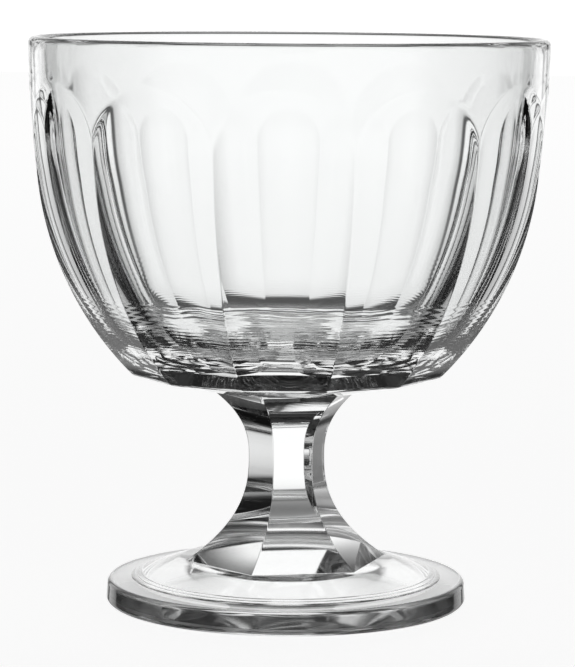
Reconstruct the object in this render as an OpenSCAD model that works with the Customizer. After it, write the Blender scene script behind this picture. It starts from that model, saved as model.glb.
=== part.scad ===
// Footed dessert glass with a fluted bowl, a six-sided waisted stem and a round foot.
// Three gathers of glass, fused hot: the foot, the stem and the bowl.
// The origin is on the table under the middle of the foot, and +Z is up.

/* [Rim and band] */
// Outer radius of the rim
rim_radius = 50.1; // [46:0.1:56]
// Thickness of the wall at the rim
rim_wall = 2.4; // [2:0.1:3.5]
// Plain band between the rim and the tops of the flutes
band_height = 8.2; // [7:0.1:12]
// Outward lean of the wall above the flutes, in degrees
band_lean = 0.8; // [0.4:0.1:2]

/* [Flutes] */
// Number of flutes round the bowl
flute_count = 12; // [10:1:16]
// Radius of the cutter that rounds off the top of each flute
flute_end_radius = 50; // [36:1:60]
// Straight stretch of each flute below its arch
flute_straight = 8.8; // [6:0.2:12]
// Inward lean of that straight stretch, in degrees
flute_lean = 5.6; // [4:0.2:8]
// Radius of the belly of the bowl, seen from the side
belly_radius = 65; // [60:0.5:72]

/* [Bowl] */
// Height of the bowl, from its seam with the stem to the rim
bowl_height = 67.8; // [64:0.2:72]
// Height of the lower corner of the bowl above that seam
corner_height = 3.6; // [2.8:0.1:5]
// Rounding of the lower corner
corner_radius = 3; // [1.5:0.1:4]
// Thickness of the floor of the bowl
floor_thickness = 9; // [7:0.2:12]
// Depth of the straight inner wall below the rim
inner_straight = 17; // [12:0.5:22]
// Inward lean of the straight inner wall, in degrees
inner_lean = 3; // [1:0.25:5]
// Radius of the inner belly, seen from the side
inner_belly_radius = 60; // [54:0.5:70]
// Radius of the curve between the inner belly and the floor
inner_floor_radius = 25; // [18:0.5:28]

/* [Stem] */
// Height of the stem, from the foot to the bowl
stem_height = 33.6; // [28:0.2:44]
// Height of the waist above the foot
waist_height = 20.3; // [16:0.1:24]
// Corner radius of the stem at its waist
waist_radius = 7.5; // [6:0.1:10]
// Corner radius of the stem where it meets the bowl
stem_top_radius = 15.1; // [12:0.1:17]
// Corner radius of the stem where it meets the foot
stem_base_radius = 19.8; // [16:0.1:22]
// Number of sides of the stem
stem_sides = 6; // [4:2:8]
// Turn of the stem against the flutes, in degrees
stem_turn = 12; // [0:0.5:30]

/* [Foot] */
// Outer radius of the foot
foot_radius = 35.1; // [30:0.1:42]
// Height of the seat that the stem stands on
foot_height = 8.4; // [7:0.1:11]
// Ledge left round the corners of the stem
seat_ledge = 0.4; // [0.2:0.1:1]
// Radius of the fine ring near the edge
ring_radius = 30; // [27.5:0.1:31]
// Height of the foot at the ring
ring_height = 5.2; // [4.9:0.1:6.5]
// Depth of the step at the ring
ring_step = 0.2; // [0.1:0.05:0.4]
// Height of the foot's edge
edge_height = 4.7; // [4:0.1:4.7]
// Rounding over the edge
edge_round = 1; // [0.5:0.1:1.6]
// Rounding under the edge
sole_round = 1.2; // [0.6:0.1:2]
// How much narrower the foot is at the top of its edge than at the bottom
edge_draft = 0.2; // [0:0.05:0.6]
// Radius of the hollow under the foot
hollow_radius = 28; // [24:0.5:31]
// Depth of the hollow, whose side follows the slope on top
hollow_depth = 3.8; // [1.5:0.1:3.9]

/* [Hidden] */
$fn = 120;
glass_color = [0.86, 0.9, 0.91, 0.45];
// Angle of one step along an outline's round stretch, in degrees
arc_step = 3;
// Steps along each flare of the stem
flare_steps = 14;
// How quickly the stem flares out to the bowl and to the foot
top_flare_power = 2.4;
base_flare_power = 2.5;
// Angle below level at which the lower corner meets the underside
corner_end = 78;
// Overrun of the cuts past the glass
overrun = 4;

flute_half = 180 / flute_count;
band_radius = rim_radius - band_height * tan(band_lean);
// Distance from the axis to a flute's flat where its arch springs
spring_flat = band_radius * cos(flute_half);
flute_depth = band_radius - spring_flat;
// The cutter climbs out of the glass between these two angles
arch_end = acos(cos(flute_lean) - flute_depth / flute_end_radius);
arch_rise = flute_end_radius * (sin(arch_end) - sin(flute_lean));
spring_height = bowl_height - band_height - arch_rise;
// Angle at which the cutter is clear of the rim
cutter_exit = acos((spring_flat + flute_end_radius * cos(flute_lean) - rim_radius - overrun) / flute_end_radius);
belly_top = spring_height - flute_straight;
belly_flat = spring_flat - flute_straight * tan(flute_lean);
belly_center = [belly_flat - belly_radius * cos(flute_lean), belly_top + belly_radius * sin(flute_lean)];
corner_start = asin((belly_center[1] - corner_height) / belly_radius);
seam_flat = stem_top_radius + seat_ledge;
foot_seat = stem_base_radius + seat_ledge;
seat_slope = (foot_height - ring_height) / (ring_radius - foot_seat);
lip_radius = rim_wall / 2;
inner_radius = rim_radius - rim_wall;
inner_belly_top = bowl_height - inner_straight;
inner_belly_start = inner_radius - inner_straight * tan(inner_lean);
// Sine and angle of the place where the inner belly hands over to the floor curve
inner_turn_sine = (inner_belly_top - floor_thickness + inner_belly_radius * sin(inner_lean) - inner_floor_radius)
    / (inner_belly_radius - inner_floor_radius);
inner_turn = asin(inner_turn_sine);

// Points on an arc round c, from angle a to angle b
function arc(c, r, a, b) =
    let (steps = max(2, ceil(abs(b - a) / arc_step)))
    [for (i = [0:steps]) let (t = a + (b - a) * i / steps) c + r * [cos(t), sin(t)]];

function mirrored(points) = [for (i = [len(points) - 1:-1:0]) [-points[i][0], points[i][1]]];

// Side of one flute, from the seam up past the rim
function flute_side() =
    let (
        corner_from = belly_center + belly_radius * [cos(corner_start), -sin(corner_start)],
        corner_center = corner_from - corner_radius * [cos(corner_start), -sin(corner_start)],
        end_center = [spring_flat + flute_end_radius * cos(flute_lean),
            spring_height - flute_end_radius * sin(flute_lean)]
    )
    concat(
        [[seam_flat, 0]],
        arc(corner_center, corner_radius, -corner_end, -corner_start),
        arc(belly_center, belly_radius, -corner_start, -flute_lean),
        arc(end_center, flute_end_radius, 180 - flute_lean, 180 - cutter_exit),
        [end_center + [-flute_end_radius * cos(cutter_exit), bowl_height - end_center[1] + 2 * overrun]]
    );

// Wall of the bowl as a turned outline: outside, rim, inside and floor
function wall_outline() =
    let (
        belly_mid = [inner_belly_start - inner_belly_radius * cos(inner_lean),
            inner_belly_top + inner_belly_radius * sin(inner_lean)],
        floor_mid = belly_mid + (inner_belly_radius - inner_floor_radius) * [cos(inner_turn), -sin(inner_turn)]
    )
    concat(
        [[0, 0], [rim_radius - bowl_height * tan(band_lean), 0]],
        arc([rim_radius - lip_radius, bowl_height - lip_radius], lip_radius, 0, 180),
        arc(belly_mid, inner_belly_radius, -inner_lean, -inner_turn),
        arc(floor_mid, inner_floor_radius, -inner_turn, -90),
        [[0, floor_thickness]]
    );

// Height and corner radius of the stem, from the foot up to the bowl
function stem_side() =
    concat(
        [for (i = [flare_steps:-1:1]) let (share = i / flare_steps)
            [waist_radius + (stem_base_radius - waist_radius) * pow(share, base_flare_power),
                waist_height * (1 - share)]],
        [for (i = [0:flare_steps]) let (share = i / flare_steps)
            [waist_radius + (stem_top_radius - waist_radius) * pow(share, top_flare_power),
                waist_height + (stem_height - waist_height) * share]]
    );

// A bar across the axis with the same outline on both sides
module slab(side, reach) {
    rotate([90, 0, 0])
        linear_extrude(height = 2 * reach, center = true)
            polygon(concat(side, mirrored(side)));
}

module foot() {
    edge_reach = foot_radius - edge_draft - edge_round;
    color(glass_color)
        rotate_extrude()
            polygon(concat(
                [[0, hollow_depth],
                    [hollow_radius - hollow_depth / seat_slope, hollow_depth],
                    [hollow_radius, 0]],
                arc([foot_radius - sole_round, sole_round], sole_round, -90, 0),
                arc([edge_reach, edge_height - edge_round], edge_round, 0, 90),
                [[ring_radius + ring_step, ring_height - ring_step],
                    [ring_radius, ring_height],
                    [foot_seat, foot_height],
                    [0, foot_height]]
            ));
}

module stem() {
    side = [for (p = stem_side()) [p[0] * cos(180 / stem_sides), p[1]]];
    color(glass_color)
        translate([0, 0, foot_height])
            rotate([0, 0, stem_turn])
                intersection_for(k = [0:stem_sides / 2 - 1])
                    rotate([0, 0, 90 + k * 360 / stem_sides])
                        slab(side, stem_base_radius + overrun);
}

module bowl() {
    side = flute_side();
    color(glass_color)
        translate([0, 0, foot_height + stem_height])
            intersection() {
                rotate_extrude()
                    polygon(wall_outline());
                intersection_for(k = [0:flute_count / 2 - 1])
                    rotate([0, 0, 90 + k * 360 / flute_count])
                        slab(side, rim_radius + overrun);
            }
}

foot();
stem();
bowl();
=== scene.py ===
# A footed dessert glass in clear pressed glass: bowl, stem and foot, standing on a pale table.
import bpy
from math import acos, asin, cos, degrees, pi, radians, sin, sqrt, tan
from mathutils import Euler, Matrix, Vector


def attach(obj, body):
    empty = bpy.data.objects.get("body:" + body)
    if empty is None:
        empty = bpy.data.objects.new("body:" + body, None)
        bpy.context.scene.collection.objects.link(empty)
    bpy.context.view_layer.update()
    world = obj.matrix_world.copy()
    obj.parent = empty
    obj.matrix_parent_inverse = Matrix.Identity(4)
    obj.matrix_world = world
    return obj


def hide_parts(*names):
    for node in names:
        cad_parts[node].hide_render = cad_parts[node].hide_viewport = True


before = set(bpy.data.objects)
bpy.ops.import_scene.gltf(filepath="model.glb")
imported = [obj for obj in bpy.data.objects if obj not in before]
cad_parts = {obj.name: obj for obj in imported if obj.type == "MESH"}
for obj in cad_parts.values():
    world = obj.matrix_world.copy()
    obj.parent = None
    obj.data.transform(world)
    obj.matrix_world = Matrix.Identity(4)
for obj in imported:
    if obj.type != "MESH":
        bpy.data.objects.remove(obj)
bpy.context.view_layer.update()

mm = 0.001
weldDistance = 0.002 * mm    # corners closer than this become one
cornerGap = 0.001 * mm       # a corner of a seam is this near its height
faceGap = 0.01 * mm          # and the middle of its face this near
seamMargin = 0.1             # a seam's corners are at most this far outside its own radius, mm
seamCorners = 40             # only the flat face of a seam has more corners than this
smoothAngle = 35             # edges flatter than this are shaded smooth, degrees


def deselectAll():
    if bpy.context.object and bpy.context.object.mode == "EDIT":
        bpy.ops.object.mode_set(mode="OBJECT")
    bpy.ops.object.select_all(action="DESELECT")


def arcPoints(centre, radius, first, last, count):
    # points on an arc between two angles in degrees
    turns = [radians(first + (last - first) * i / count) for i in range(count + 1)]
    return [(centre[0] + radius * cos(turn), centre[1] + radius * sin(turn)) for turn in turns]


def linePoints(start, end, count):
    return [(start[0] + (end[0] - start[0]) * i / count, start[1] + (end[1] - start[1]) * i / count)
            for i in range(count + 1)]


def softMin(first, second, softness):
    # the smaller of two radii, with the corner between them melted over a short way
    near = max(softness - abs(first - second), 0) / softness
    return min(first, second) - near * near * softness / 4


def sideReach(angle, sides, corner, turn):
    # distance from the axis to an even-sided outline in one direction
    half = pi / sides
    offset = (angle - radians(turn) + half) % (2 * half) - half
    return corner * cos(half) / cos(offset)


def weldCorners():
    bpy.ops.mesh.select_all(action="SELECT")
    bpy.ops.mesh.remove_doubles(threshold=weldDistance)
    bpy.ops.object.mode_set(mode="OBJECT")


def laySheet(name, columns, rows, pointAt):
    # a sheet of quads, with every corner moved to its place on the glass
    deselectAll()
    bpy.ops.mesh.primitive_grid_add(x_subdivisions=columns, y_subdivisions=rows, size=1)
    piece = bpy.context.object
    piece.name = piece.data.name = name
    for vertex in piece.data.vertices:
        column = round((vertex.co.x + 0.5) * columns)
        row = round((vertex.co.y + 0.5) * rows)
        vertex.co = Vector(pointAt(column, row)) * mm
    return piece


def repeatRound(count):
    # copies the sheet round the axis and welds the copies into one wall
    bpy.ops.object.mode_set(mode="EDIT")
    bpy.ops.mesh.select_all(action="SELECT")
    bpy.ops.mesh.spin(steps=count - 1, dupli=True, angle=2 * pi * (count - 1) / count,
                      center=(0, 0, 0), axis=(0, 0, 1))
    weldCorners()


def spinSection(name, points, steps, turn):
    # a section drawn as a loose ring of corners, opened at the axis and spun to a round body
    deselectAll()
    bpy.ops.mesh.primitive_circle_add(vertices=len(points), radius=1, fill_type="NOTHING")
    piece = bpy.context.object
    piece.name = piece.data.name = name
    start = radians(turn)
    for vertex, (reach, height) in zip(piece.data.vertices, points):
        vertex.co = Vector((reach * sin(start), -reach * cos(start), height)) * mm
        vertex.select = False
    last = len(points) - 1
    for edge in piece.data.edges:
        edge.select = set(edge.vertices) == {0, last}
    bpy.ops.object.mode_set(mode="EDIT")
    bpy.ops.mesh.select_mode(type="EDGE")
    bpy.ops.mesh.delete(type="EDGE")
    bpy.ops.mesh.select_mode(type="VERT")
    bpy.ops.mesh.select_all(action="SELECT")
    bpy.ops.mesh.spin(steps=steps, dupli=False, angle=2 * pi, center=(0, 0, 0), axis=(0, 0, 1))
    weldCorners()
    return piece


def closeSeam(piece, height, corner):
    # the open edge at a seam takes the stem's own sides and gets one flat face
    limit = (corner + seamMargin) * mm
    seam = [vertex for vertex in piece.data.vertices
            if abs(vertex.co.z - height * mm) < cornerGap and vertex.co.xy.length < limit]
    for vertex in seam:
        angle = -Vector((0, -1)).angle_signed(vertex.co.xy)
        side = sideReach(angle, stem["sides"], corner, stem["turn"]) * mm
        vertex.co.x, vertex.co.y = side * sin(angle), -side * cos(angle)
    for item in list(piece.data.vertices) + list(piece.data.edges) + list(piece.data.polygons):
        item.select = False
    chosen = {vertex.index for vertex in seam}
    for index in chosen:
        piece.data.vertices[index].select = True
    for edge in piece.data.edges:
        edge.select = set(edge.vertices) <= chosen
    bpy.ops.object.mode_set(mode="EDIT")
    bpy.ops.mesh.select_mode(type="VERT")
    bpy.ops.mesh.edge_face_add()
    bpy.ops.object.mode_set(mode="OBJECT")


def finishPiece(piece, node, glass, seamHeights):
    # outward faces, one smooth skin, and the fused faces told apart from the free ones
    bpy.ops.object.mode_set(mode="EDIT")
    bpy.ops.mesh.select_all(action="SELECT")
    bpy.ops.mesh.normals_make_consistent(inside=False)
    bpy.ops.object.mode_set(mode="OBJECT")
    bpy.ops.object.shade_smooth_by_angle(angle=radians(smoothAngle))
    piece.data.materials.append(glass)
    piece.data.materials.append(fusedSeam)
    for face in piece.data.polygons:
        atSeam = any(abs(face.center.z - height * mm) < faceGap for height in seamHeights)
        if atSeam and len(face.vertices) > seamCorners:
            face.material_index = 1
    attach(piece, "root")
    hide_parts(node)
    print(piece.name, "done,", len(piece.data.polygons), "faces")


# Glass
glassLook = {
    "ior": 1.52,                     # soda-lime glass
    "tint": (0.985, 0.992, 0.99),    # barely green
    "roughness": 0.004,
    "waveLength": 14,                # slow waves left by the mould, mm
    "waveDepth": 0.004,
    "streakLength": 1.3,             # fine upright streaks of the mould's wall, mm
    "streakStretch": 0.09,           # their width as a share of their length
    "streakDepth": 0.0004,
}

# uneven rings that the plunger leaves low inside the bowl, in mm
chillLook = {
    "spacing": 0.6,
    "depth": 0.006,
    "haze": 0.04,                    # roughness added where the plunger chilled the glass
    "driftLength": 7,                # the rings wander over this length
    "driftTurns": 1.5,               # and by at most this many spacings
    "radius": 30,                    # smooth floor up to here
    "radiusFade": 3,
    "top": 62.5,                     # height above the table where the rings end
    "topFade": 1,
    "inside": -21,                   # reach less height, which is larger on the outside of the wall
}

# wear and painted shade on the foot, in mm above the table and from the axis
wearAndPaintedShade = {
    "soleHaze": 0.3,                 # roughness of the worn ring that the foot stands on
    "soleTop": 0.3,
    "hollowHaze": 0.07,              # roughness of the hollow inside that ring
    "hollowTop": 3.9,
    "hollowRadius": 28.1,
    "paintedEdgeShade": 0.88,               # painted shade: the glass's tint darkened along the edge
    "edgeRadius": 34,
    "shadeBottom": (0.5, 1.1),       # the shade comes in between these heights
    "shadeTop": (3.5, 4.1),          # and goes out between these
    "blotchLength": 4,
    "blotchDetail": 5,
    "blotchRange": 0.9,              # how far the shade varies
    "blotchLeast": 0.4,              # share of the shade that is there everywhere
}


def mathNode(tree, operation, *values):
    node = tree.nodes.new("ShaderNodeMath")
    node.operation = operation
    for socket, value in zip(node.inputs, values):
        if isinstance(value, (int, float)):
            socket.default_value = value
        else:
            tree.links.new(value, socket)
    return node.outputs[0]


def vectorNode(tree, operation, vector):
    node = tree.nodes.new("ShaderNodeVectorMath")
    node.operation = operation
    if isinstance(vector, tuple):
        node.inputs[0].default_value = vector
    else:
        tree.links.new(vector, node.inputs[0])
    return node


def rangeNode(tree, value, starts, ends, blend):
    # a value that runs between the two ends while another runs between the two starts
    node = tree.nodes.new("ShaderNodeMapRange")
    node.interpolation_type = blend
    for socket, amount in zip(("From Min", "From Max", "To Min", "To Max"), (*starts, *ends)):
        node.inputs[socket].default_value = amount
    tree.links.new(value, node.inputs["Value"])
    return node.outputs["Result"]


def fadeOut(tree, value, start, end):
    # one up to the start and nothing past the end, both in mm
    return rangeNode(tree, value, (start * mm, end * mm), (1, 0), "SMOOTHSTEP")


def noiseNode(tree, place, length, detail):
    noise = tree.nodes.new("ShaderNodeTexNoise")
    noise.inputs["Scale"].default_value = 1 / (length * mm)
    noise.inputs["Detail"].default_value = detail
    tree.links.new(place, noise.inputs["Vector"])
    return noise.outputs["Fac"]


def reachAndRise(tree, place):
    # distance from the axis, and height above the table
    axes = tree.nodes.new("ShaderNodeSeparateXYZ")
    tree.links.new(place, axes.inputs[0])
    squares = [mathNode(tree, "POWER", axes.outputs[axis], 2) for axis in ("X", "Y")]
    return mathNode(tree, "SQRT", mathNode(tree, "ADD", *squares)), axes.outputs["Z"]


def mouldWaves(tree, place):
    wave = noiseNode(tree, place, glassLook["waveLength"], 1)
    stretched = vectorNode(tree, "MULTIPLY", place)
    stretched.inputs[1].default_value = (1, 1, glassLook["streakStretch"])
    streak = noiseNode(tree, stretched.outputs["Vector"], glassLook["streakLength"], 2)
    return mathNode(tree, "ADD", mathNode(tree, "MULTIPLY", wave, glassLook["waveDepth"] * mm),
                    mathNode(tree, "MULTIPLY", streak, glassLook["streakDepth"] * mm))


def chillRings(tree, shader, place, height):
    # rings round the axis, only on the inside of the bowl and low down
    reach, rise = reachAndRise(tree, place)
    drift = mathNode(tree, "MULTIPLY", noiseNode(tree, place, chillLook["driftLength"], 2),
                     2 * pi * chillLook["driftTurns"])
    turns = mathNode(tree, "MULTIPLY_ADD", reach, 2 * pi / (chillLook["spacing"] * mm), drift)
    onFloor = fadeOut(tree, reach, chillLook["radius"] - chillLook["radiusFade"], chillLook["radius"])
    inside = mathNode(tree, "LESS_THAN", mathNode(tree, "SUBTRACT", reach, rise), chillLook["inside"] * mm)
    held = mathNode(tree, "MULTIPLY", mathNode(tree, "SUBTRACT", 1, onFloor), inside)
    low = fadeOut(tree, rise, chillLook["top"] - chillLook["topFade"], chillLook["top"])
    held = mathNode(tree, "MULTIPLY", held, low)
    haze = mathNode(tree, "MULTIPLY_ADD", held, chillLook["haze"], glassLook["roughness"])
    tree.links.new(haze, shader.inputs["Roughness"])
    rings = mathNode(tree, "MULTIPLY", mathNode(tree, "SINE", turns), held)
    return mathNode(tree, "ADD", height, mathNode(tree, "MULTIPLY", rings, chillLook["depth"] * mm))


def wornFootAndPaintedShade(tree, shader, place, height):
    # a hazy sole and hollow, and a blotchy band of painted shade along the edge, put in the glass's tint
    reach, rise = reachAndRise(tree, place)
    sole = mathNode(tree, "LESS_THAN", rise, wearAndPaintedShade["soleTop"] * mm)
    hollow = mathNode(tree, "MULTIPLY", mathNode(tree, "LESS_THAN", rise, wearAndPaintedShade["hollowTop"] * mm),
                      mathNode(tree, "LESS_THAN", reach, wearAndPaintedShade["hollowRadius"] * mm))
    haze = mathNode(tree, "MAXIMUM", mathNode(tree, "MULTIPLY", sole, wearAndPaintedShade["soleHaze"]),
                    mathNode(tree, "MULTIPLY", hollow, wearAndPaintedShade["hollowHaze"]))
    tree.links.new(mathNode(tree, "ADD", haze, glassLook["roughness"]), shader.inputs["Roughness"])
    # painted shade: a blotchy band along the foot's edge darkens the glass's tint
    band = mathNode(tree, "MULTIPLY", fadeOut(tree, rise, *wearAndPaintedShade["shadeTop"]),
                    mathNode(tree, "SUBTRACT", 1, fadeOut(tree, rise, *wearAndPaintedShade["shadeBottom"])))
    onEdge = mathNode(tree, "GREATER_THAN", reach, wearAndPaintedShade["edgeRadius"] * mm)
    band = mathNode(tree, "MULTIPLY", band, onEdge)
    blotch = noiseNode(tree, place, wearAndPaintedShade["blotchLength"], wearAndPaintedShade["blotchDetail"])
    blotch = mathNode(tree, "MULTIPLY_ADD", blotch, wearAndPaintedShade["blotchRange"], wearAndPaintedShade["blotchLeast"])
    band = mathNode(tree, "MULTIPLY", band, mathNode(tree, "MINIMUM", blotch, 1))
    shade = vectorNode(tree, "SCALE", glassLook["tint"])
    tree.links.new(mathNode(tree, "MULTIPLY_ADD", band, -wearAndPaintedShade["paintedEdgeShade"], 1), shade.inputs["Scale"])
    tree.links.new(shade.outputs["Vector"], shader.inputs["Base Color"])
    return height


def makeGlass(name, addLook=None):
    material = bpy.data.materials.new(name)
    material.use_nodes = True
    tree = material.node_tree
    shader = tree.nodes["Principled BSDF"]
    shader.inputs["IOR"].default_value = glassLook["ior"]
    shader.inputs["Transmission Weight"].default_value = 1
    shader.inputs["Roughness"].default_value = glassLook["roughness"]
    shader.inputs["Base Color"].default_value = (*glassLook["tint"], 1)
    place = tree.nodes.new("ShaderNodeTexCoord").outputs["Object"]
    height = mouldWaves(tree, place)
    if addLook:
        height = addLook(tree, shader, place, height)
    bump = tree.nodes.new("ShaderNodeBump")
    bump.inputs["Distance"].default_value = 1
    tree.links.new(height, bump.inputs["Height"])
    tree.links.new(bump.outputs["Normal"], shader.inputs["Normal"])
    print(name, "ready")
    return material


pressedGlass = makeGlass("pressedGlass")
footGlass = makeGlass("footGlass", wornFootAndPaintedShade)
bowlGlass = makeGlass("bowlGlass", chillRings)

# where two pieces are fused there is no surface, so light goes straight on
fusedSeam = bpy.data.materials.new("fusedSeam")
fusedSeam.use_nodes = True
fusedSeam.node_tree.nodes["Principled BSDF"].inputs["Alpha"].default_value = 0


# Stem
stem = {
    "sides": 6,
    "turn": 12.0,            # degrees from a flute's middle to a side's middle
    "base": 8.4,             # height of the fused seam on the foot, mm
    "top": 42.0,             # height of the fused seam under the bowl
    "waist": 28.7,           # height of the thinnest place
    "waistCorner": 7.5,      # distances from the axis to the six edges
    "topCorner": 15.1,
    "baseCorner": 19.8,
    "topFlare": 2.4,         # how quickly it flares out
    "baseFlare": 2.5,
    "ledge": 0.4,            # left round its corners, on the foot and under the bowl
    "edgeSoftness": 0.12,    # melt on the six edges
    "rows": 80,
}

halfSide = pi / stem["sides"]
# directions of the sheet's columns from a side's middle, in degrees, closer together near the edges
stemHalf = [30, 29.7, 29.3, 28.6, 27.2, 24.5, 20, 14, 7]
stemAngles = [-angle for angle in stemHalf] + [0] + stemHalf[::-1]


def stemCorner(height):
    if height > stem["waist"]:
        share = (height - stem["waist"]) / (stem["top"] - stem["waist"])
        return stem["waistCorner"] + (stem["topCorner"] - stem["waistCorner"]) * share ** stem["topFlare"]
    share = (stem["waist"] - height) / (stem["waist"] - stem["base"])
    return stem["waistCorner"] + (stem["baseCorner"] - stem["waistCorner"]) * share ** stem["baseFlare"]


def stemPoint(column, row):
    angle = radians(stemAngles[column])
    height = stem["base"] + (stem["top"] - stem["base"]) * row / stem["rows"]
    flat = stemCorner(height) * cos(halfSide)
    reach = flat / cos(angle)
    if 0 < row < stem["rows"]:
        reach = softMin(reach, flat / cos(2 * halfSide - abs(angle)), stem["edgeSoftness"])
    angle += radians(stem["turn"])
    return reach * sin(angle), -reach * cos(angle), height


glassStem = laySheet("glassStem", len(stemAngles) - 1, stem["rows"], stemPoint)
repeatRound(stem["sides"])
for seam in ("base", "top"):
    closeSeam(glassStem, stem[seam], stem[seam + "Corner"])
finishPiece(glassStem, "stem", pressedGlass, (stem["base"], stem["top"]))


# Bowl
bowl = {
    "flutes": 12,
    "height": 67.8,          # from the seam to the rim, mm
    "rimRadius": 50.1,
    "rimWall": 2.4,
    "bandHeight": 8.2,       # plain band above the arches
    "bandLean": 0.8,         # leans are in degrees
    "archRadius": 50.0,      # curve on which a flute runs out into the band
    "fluteLean": 5.6,
    "fluteStraight": 8.8,
    "bellyRadius": 65.0,
    "cornerHeight": 3.6,     # where the side turns in under the bowl
    "cornerRadius": 3.0,
    "cornerEnd": 78,         # degrees below level at which the underside starts
    "ridgeSoftness": 0.12,   # melt on the ridges between flutes
    "archSoftness": 0.2,     # melt on the arches
    "floorThickness": 9.0,
    "innerStraight": 17.0,
    "innerLean": 3.0,
    "innerBelly": 65.0,      # curve of the wall inside
    "innerFloor": 19.0,      # curve from that wall to the floor
    "climbStart": 4.0,       # closer rows start this far below the arches
    "undersideRows": 8,      # rows of the sheet, from the seam up, over the rim and down to the floor
    "cornerRows": 8,
    "sideRows": 44,
    "lipRows": 16,
    "straightRows": 10,
    "bellyRows": 30,
    "curveRows": 24,
    "floorRows": 6,
}

halfFlute = pi / bowl["flutes"]
lean = radians(bowl["fluteLean"])
bandTop = bowl["height"] - bowl["rimWall"] / 2
archTop = bowl["height"] - bowl["bandHeight"]
bandRadius = bowl["rimRadius"] - bowl["bandHeight"] * tan(radians(bowl["bandLean"]))
springFlat = bandRadius * cos(halfFlute)
archEnd = acos(cos(lean) - (bandRadius - springFlat) / bowl["archRadius"])
spring = archTop - bowl["archRadius"] * (sin(archEnd) - sin(lean))
archCentre = (springFlat + bowl["archRadius"] * cos(lean), spring - bowl["archRadius"] * sin(lean))
straightEnd = spring - bowl["fluteStraight"]
straightFlat = springFlat - bowl["fluteStraight"] * tan(lean)
bellyCentre = (straightFlat - bowl["bellyRadius"] * cos(lean),
               straightEnd + bowl["bellyRadius"] * sin(lean))
cornerStart = asin((bellyCentre[1] - bowl["cornerHeight"]) / bowl["bellyRadius"])
cornerReach = bowl["bellyRadius"] - bowl["cornerRadius"]
cornerCentre = (bellyCentre[0] + cornerReach * cos(cornerStart),
                bellyCentre[1] - cornerReach * sin(cornerStart))

innerTop = bowl["rimRadius"] - bowl["rimWall"]
innerLean = radians(bowl["innerLean"])
innerTurn = bowl["height"] - bowl["innerStraight"]
innerStart = innerTop - bowl["innerStraight"] * tan(innerLean)
innerCentre = (innerStart - bowl["innerBelly"] * cos(innerLean),
               innerTurn + bowl["innerBelly"] * sin(innerLean))
floorHeight = bowl["floorThickness"] + bowl["innerFloor"]
floorTurn = asin((innerCentre[1] - floorHeight) / (bowl["innerBelly"] - bowl["innerFloor"]))
floorCentre = (innerCentre[0] + (bowl["innerBelly"] - bowl["innerFloor"]) * cos(floorTurn), floorHeight)

searchMargin = 1             # the search for an arch's edge starts this far above the arches, mm
halvings = 50


def bandAt(height):
    return bandRadius + (height - archTop) * tan(radians(bowl["bandLean"]))


def fluteAt(height):
    # distance from the axis to a flute's middle
    if height > spring:
        return archCentre[0] - sqrt(bowl["archRadius"] ** 2 - (height - archCentre[1]) ** 2)
    if height > straightEnd:
        return springFlat - (spring - height) * tan(lean)
    return bellyCentre[0] + sqrt(bowl["bellyRadius"] ** 2 - (height - bellyCentre[1]) ** 2)


def ridgeReach(flat, angle):
    return softMin(flat / cos(angle), flat / cos(2 * halfFlute - abs(angle)), bowl["ridgeSoftness"])


def archAt(angle):
    # height of the arch's edge, found by halving
    low, high = spring, archTop + searchMargin
    for halving in range(halvings):
        middle = (low + high) / 2
        if fluteAt(middle) / cos(angle) < bandAt(middle):
            low = middle
        else:
            high = middle
    return low


# columns of the sheet in degrees from a flute's middle, and rows as shares of the way to and past the arch
ridgeHalf = [15, 14.87, 14.74, 14.5, 14.0, 13.2, 12.0, 10.3, 8.2, 6, 3]
fluteAngles = [radians(angle) for angle in [-half for half in ridgeHalf] + [0] + ridgeHalf[::-1]]
archHeights = [archAt(angle) for angle in fluteAngles]
climbShares = [0.12, 0.24, 0.36, 0.47, 0.57, 0.66, 0.74, 0.81, 0.87, 0.915, 0.945, 0.965, 0.98, 0.99, 1]
bandShares = [0.01, 0.025, 0.045, 0.075, 0.12, 0.18, 0.27, 0.4, 0.55, 0.7, 0.85, 1]
climbStart = spring - bowl["climbStart"]


def lowRows():
    # flat radius and height up the flutes, from the seam to where the arches come near
    corner = arcPoints(cornerCentre, bowl["cornerRadius"], -bowl["cornerEnd"], -degrees(cornerStart),
                       bowl["cornerRows"])
    points = [(stem["topCorner"], 0)]
    points += linePoints((stem["topCorner"] + stem["ledge"], 0), corner[0], bowl["undersideRows"])[:-1]
    points += corner
    for step in range(1, bowl["sideRows"] + 1):
        height = bowl["cornerHeight"] + (climbStart - bowl["cornerHeight"]) * step / bowl["sideRows"]
        points.append((fluteAt(height), height))
    return points


def roundRows():
    # radius and height over the lip, down the wall inside and across the floor
    lipRadius = bowl["rimWall"] / 2
    lipCentre = (bandAt(bandTop) - lipRadius, bandTop)
    points = arcPoints(lipCentre, lipRadius, 0, 180, bowl["lipRows"])[1:]
    points += linePoints((innerTop, bandTop), (innerStart, innerTurn), bowl["straightRows"])[1:]
    points += arcPoints(innerCentre, bowl["innerBelly"], -bowl["innerLean"], -degrees(floorTurn),
                        bowl["bellyRows"])[1:]
    points += arcPoints(floorCentre, bowl["innerFloor"], -degrees(floorTurn), -90, bowl["curveRows"])[1:]
    points += linePoints(points[-1], (0, bowl["floorThickness"]), bowl["floorRows"])[1:]
    return points


bowlRows = [("low", point) for point in lowRows()]
bowlRows += [("climb", share) for share in climbShares]
bowlRows += [("band", share) for share in bandShares]
bowlRows += [("round", point) for point in roundRows()]


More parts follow.
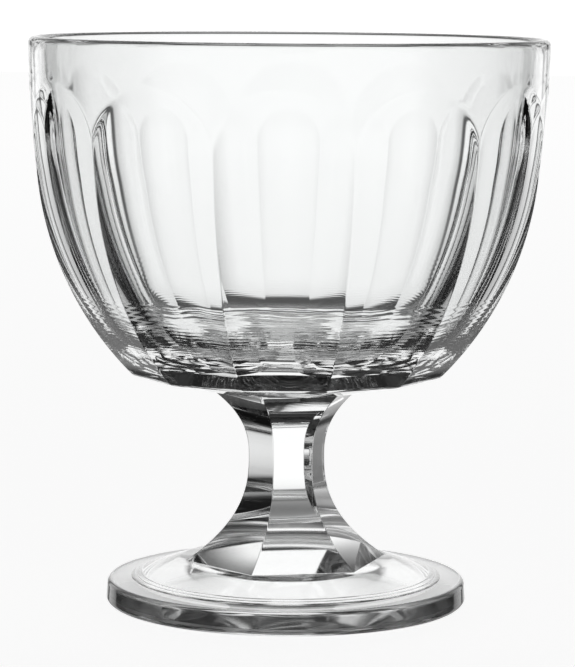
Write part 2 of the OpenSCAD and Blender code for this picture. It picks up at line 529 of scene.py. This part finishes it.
def bowlPoint(column, row):
    angle = fluteAngles[column]
    kind, value = bowlRows[row]
    if kind == "round":
        reach, height = value
    elif kind == "low":
        flat, height = value
        reach = ridgeReach(flat, angle)
    else:
        if kind == "climb":
            height = climbStart + (archHeights[column] - climbStart) * value
        else:
            height = archHeights[column] + (bandTop - archHeights[column]) * value
        reach = softMin(ridgeReach(fluteAt(height), angle), bandAt(height), bowl["archSoftness"])
    return reach * sin(angle), -reach * cos(angle), height + stem["top"]


glassBowl = laySheet("glassBowl", len(fluteAngles) - 1, len(bowlRows) - 1, bowlPoint)
repeatRound(bowl["flutes"])
closeSeam(glassBowl, stem["top"], stem["topCorner"])
finishPiece(glassBowl, "bowl", bowlGlass, (stem["top"],))


# Foot
foot = {
    "radius": 35.1,
    "soleRound": 1.2,        # rounding under the edge, mm
    "edgeRound": 1.0,        # rounding over it
    "edgeDraft": 0.2,
    "edgeHeight": 4.7,
    "rings": [30.0, 29.1, 28.2],
    "ringStep": 0.2,
    "ringMark": 0.06,        # depth of the two finer rings
    "ringHeight": 5.2,
    "hollowRadius": 28.0,    # the hollow underneath follows the slope on top
    "hollowDepth": 3.8,
    "steps": 144,            # round the axis
    "hollowRows": 8,         # rows of the section, from the hollow out to the edge and back over the top
    "soleRows": 4,
    "edgeRows": 10,
    "outerRows": 4,
    "innerRows": 10,
}

# short ways beside a crease that keep it tight, in mm
creaseWide = 0.3
creaseNarrow = 0.2
creaseDrop = 0.02            # the corner of the hollow lies this much lower than its flat
slopeNudge = 0.01            # the outer slope's ends are this far above and below the corners beside them
ringWide = 0.15
ringNarrow = 0.08

seatRadius = stem["baseCorner"] + stem["ledge"]
seatSlope = (stem["base"] - foot["ringHeight"]) / (foot["rings"][0] - seatRadius)


def underFoot():
    hollowEnd = foot["hollowRadius"] - foot["hollowDepth"] / seatSlope
    points = linePoints((0, foot["hollowDepth"]), (hollowEnd - creaseWide, foot["hollowDepth"]),
                        foot["hollowRows"])
    points.append((hollowEnd, foot["hollowDepth"] - creaseDrop))
    points += linePoints((hollowEnd + creaseWide, foot["hollowDepth"] - creaseWide * seatSlope),
                         (foot["hollowRadius"] - creaseNarrow, creaseNarrow * seatSlope),
                         foot["hollowRows"])
    soleEnd = foot["radius"] - foot["soleRound"] - creaseNarrow
    return points + linePoints((foot["hollowRadius"], 0), (soleEnd, 0), foot["soleRows"])


def footEdge():
    soleCentre = (foot["radius"] - foot["soleRound"], foot["soleRound"])
    edgeReach = foot["radius"] - foot["edgeDraft"] - foot["edgeRound"]
    edgeCentre = (edgeReach, foot["edgeHeight"] - foot["edgeRound"])
    points = arcPoints(soleCentre, foot["soleRound"], -90, 0, foot["edgeRows"])
    points += arcPoints(edgeCentre, foot["edgeRound"], 0, 90, foot["edgeRows"])
    ringFoot = (foot["rings"][0] + foot["ringStep"], foot["ringHeight"] - foot["ringStep"])
    points += linePoints((edgeReach - creaseNarrow, foot["edgeHeight"] + slopeNudge),
                         (ringFoot[0] + ringWide, ringFoot[1] - slopeNudge), foot["outerRows"])
    return points + [ringFoot]


def footTop():
    points = []
    for ring in foot["rings"]:
        height = foot["ringHeight"] + (foot["rings"][0] - ring) * seatSlope
        if ring != foot["rings"][0]:
            points.append((ring + ringWide, height - ringWide * seatSlope))
            points.append((ring + ringNarrow, height - foot["ringMark"]))
        points.append((ring, height))
    points += linePoints((ring - creaseWide, height + creaseWide * seatSlope), (seatRadius, stem["base"]),
                         foot["innerRows"])
    return points + [(stem["baseCorner"], stem["base"])]


glassFoot = spinSection("glassFoot", underFoot() + footEdge() + footTop(), foot["steps"], stem["turn"])
closeSeam(glassFoot, stem["base"], stem["baseCorner"])
finishPiece(glassFoot, "foot", footGlass, (stem["base"],))


# Table
tableLook = {
    "size": 6,               # metres
    "drop": 0.05,            # below the sole, mm
    "color": 0.5,
    "roughness": 0.8,
    "glow": 0.91,            # light of its own near the glass
    "farGlow": 0.94,         # and far from it
    "sweep": (0.15, 1.6),    # metres between which the one turns into the other
}


def palePaint():
    material = bpy.data.materials.new("palePaint")
    material.use_nodes = True
    tree = material.node_tree
    shader = tree.nodes["Principled BSDF"]
    shader.inputs["Base Color"].default_value = (tableLook["color"],) * 3 + (1,)
    shader.inputs["Roughness"].default_value = tableLook["roughness"]
    shader.inputs["Specular IOR Level"].default_value = 0
    shader.inputs["Emission Color"].default_value = (1, 1, 1, 1)
    # the table gets lighter away from the glass, up to the white behind it
    away = vectorNode(tree, "LENGTH", tree.nodes.new("ShaderNodeTexCoord").outputs["Object"])
    levels = (tableLook["glow"], tableLook["farGlow"])
    glow = rangeNode(tree, away.outputs["Value"], tableLook["sweep"], levels, "LINEAR")
    tree.links.new(glow, shader.inputs["Emission Strength"])
    return material


deselectAll()
bpy.ops.mesh.primitive_plane_add(size=tableLook["size"], location=(0, 0, -tableLook["drop"] * mm))
table = bpy.context.object
table.name = table.data.name = "table"
table.data.materials.append(palePaint())
table.visible_transmission = False
table.visible_glossy = False
print("table ready")


# Light
# each panel has its brightness by degrees round from straight behind the glass, and by degrees above level
panels = {
    "behind": {              # the white wall, down to a dark line where the table ends
        "round": [(0, 1.08), (9, 1.06), (13, 0.95), (19, 0.73), (21.5, 0.12), (23.5, 0.12), (26, 0),
                  (180, 0)],
        "height": [(-90, 0.1), (-70, 0.25), (-56, 0.42), (-44, 0.38), (-37, 0.08), (-30, 0.08), (-29, 0.4),
                   (-28, 0.88), (-18, 1), (26, 1), (34, 0.08), (45, 0.02), (90, 0.02)],
    },
    "sides": {               # bright on each side of that wall, black past it, and dim towards the front
        "round": [(0, 0), (23.5, 0), (26, 1.1), (34, 1.05), (38, 0.85), (41, 0.75), (43, 0.03), (100, 0.03),
                  (120, 0.22), (180, 0.33)],
        "height": [(-90, 0.02), (-60, 0.05), (-40, 0.35), (-20, 0.7), (-8, 1), (14, 1), (24, 0.3),
                   (34, 0.03), (90, 0.02)],
    },
    "front": {               # mostly level and below
        "round": [(0, 0), (108, 0), (122, 0.52), (180, 0.52)],
        "height": [(-90, 0.1), (-60, 0.3), (-45, 0.6), (-30, 1), (14, 1), (22, 0.1), (90, 0.02)],
    },
    "below": {               # what the table throws up, all round
        "round": [(0, 1), (180, 1)],
        "height": [(-90, 0.13), (-62, 0.3), (-50, 0), (90, 0)],
    },
}


def levelRamp(tree, value, stops):
    ramp = tree.nodes.new("ShaderNodeValToRGB")
    tree.links.new(value, ramp.inputs["Fac"])
    elements = ramp.color_ramp.elements
    elements[0].position, elements[1].position = stops[0][0], stops[-1][0]
    for stop in stops[1:-1]:
        elements.new(stop[0])
    for element, (at, level) in zip(elements, stops):
        element.color = (level, level, level, 1)
    return ramp.outputs["Color"]


world = bpy.data.worlds.new("softLight")
bpy.context.scene.world = world
world.use_nodes = True
sky = world.node_tree
axes = sky.nodes.new("ShaderNodeSeparateXYZ")
sky.links.new(sky.nodes.new("ShaderNodeTexCoord").outputs["Generated"], axes.inputs[0])
azimuth = mathNode(sky, "ABSOLUTE", mathNode(sky, "ARCTAN2", axes.outputs["X"], axes.outputs["Y"]))
roundShare = mathNode(sky, "MULTIPLY", azimuth, 1 / pi)
heightShare = mathNode(sky, "MULTIPLY_ADD", mathNode(sky, "ARCSINE", axes.outputs["Z"]), 1 / pi, 0.5)
light = 0.0
for panel in panels.values():
    around = levelRamp(sky, roundShare, [(at / 180, level) for at, level in panel["round"]])
    upward = levelRamp(sky, heightShare, [(at / 180 + 0.5, level) for at, level in panel["height"]])
    light = mathNode(sky, "MAXIMUM", mathNode(sky, "MULTIPLY", around, upward), light)
# the background itself is white
cameraRay = sky.nodes.new("ShaderNodeLightPath").outputs["Is Camera Ray"]
sky.links.new(mathNode(sky, "MAXIMUM", light, cameraRay), sky.nodes["Background"].inputs["Color"])
print("light ready,", len(panels), "panels")


# Camera
view = {
    "azimuth": 1.0,          # degrees to the right of the front flute
    "pitch": 6.74,           # degrees downwards
    "distance": 600,         # mm, from the axis
    "height": 123.4,
    "roll": 0.42,
    "focal": 3112,           # in pixels of the photograph
    "frame": (575, 667),
    "sensor": 36,            # mm wide
    "nearest": 10,           # nothing nearer than this is seen, mm
}

azimuthTurn = radians(view["azimuth"])
cameraData = bpy.data.cameras.new("camera")
cameraData.sensor_width = view["sensor"]
cameraData.lens = view["sensor"] * view["focal"] / max(view["frame"])
cameraData.clip_start = view["nearest"] * mm
camera = bpy.data.objects.new("camera", cameraData)
bpy.context.scene.collection.objects.link(camera)
camera.location = Vector((view["distance"] * sin(azimuthTurn), -view["distance"] * cos(azimuthTurn),
                          view["height"])) * mm
aim = Euler((pi / 2 - radians(view["pitch"]), 0, azimuthTurn)).to_matrix()
aim = aim @ Matrix.Rotation(radians(view["roll"]), 3, "Z")
camera.rotation_euler = aim.to_euler()
bpy.context.scene.camera = camera
print("camera ready")

bpy.context.scene.view_settings.view_transform = "Standard"
cycles = bpy.context.scene.cycles
cycles.max_bounces = 24
cycles.transmission_bounces = 24
cycles.glossy_bounces = 16
cycles.transparent_max_bounces = 24
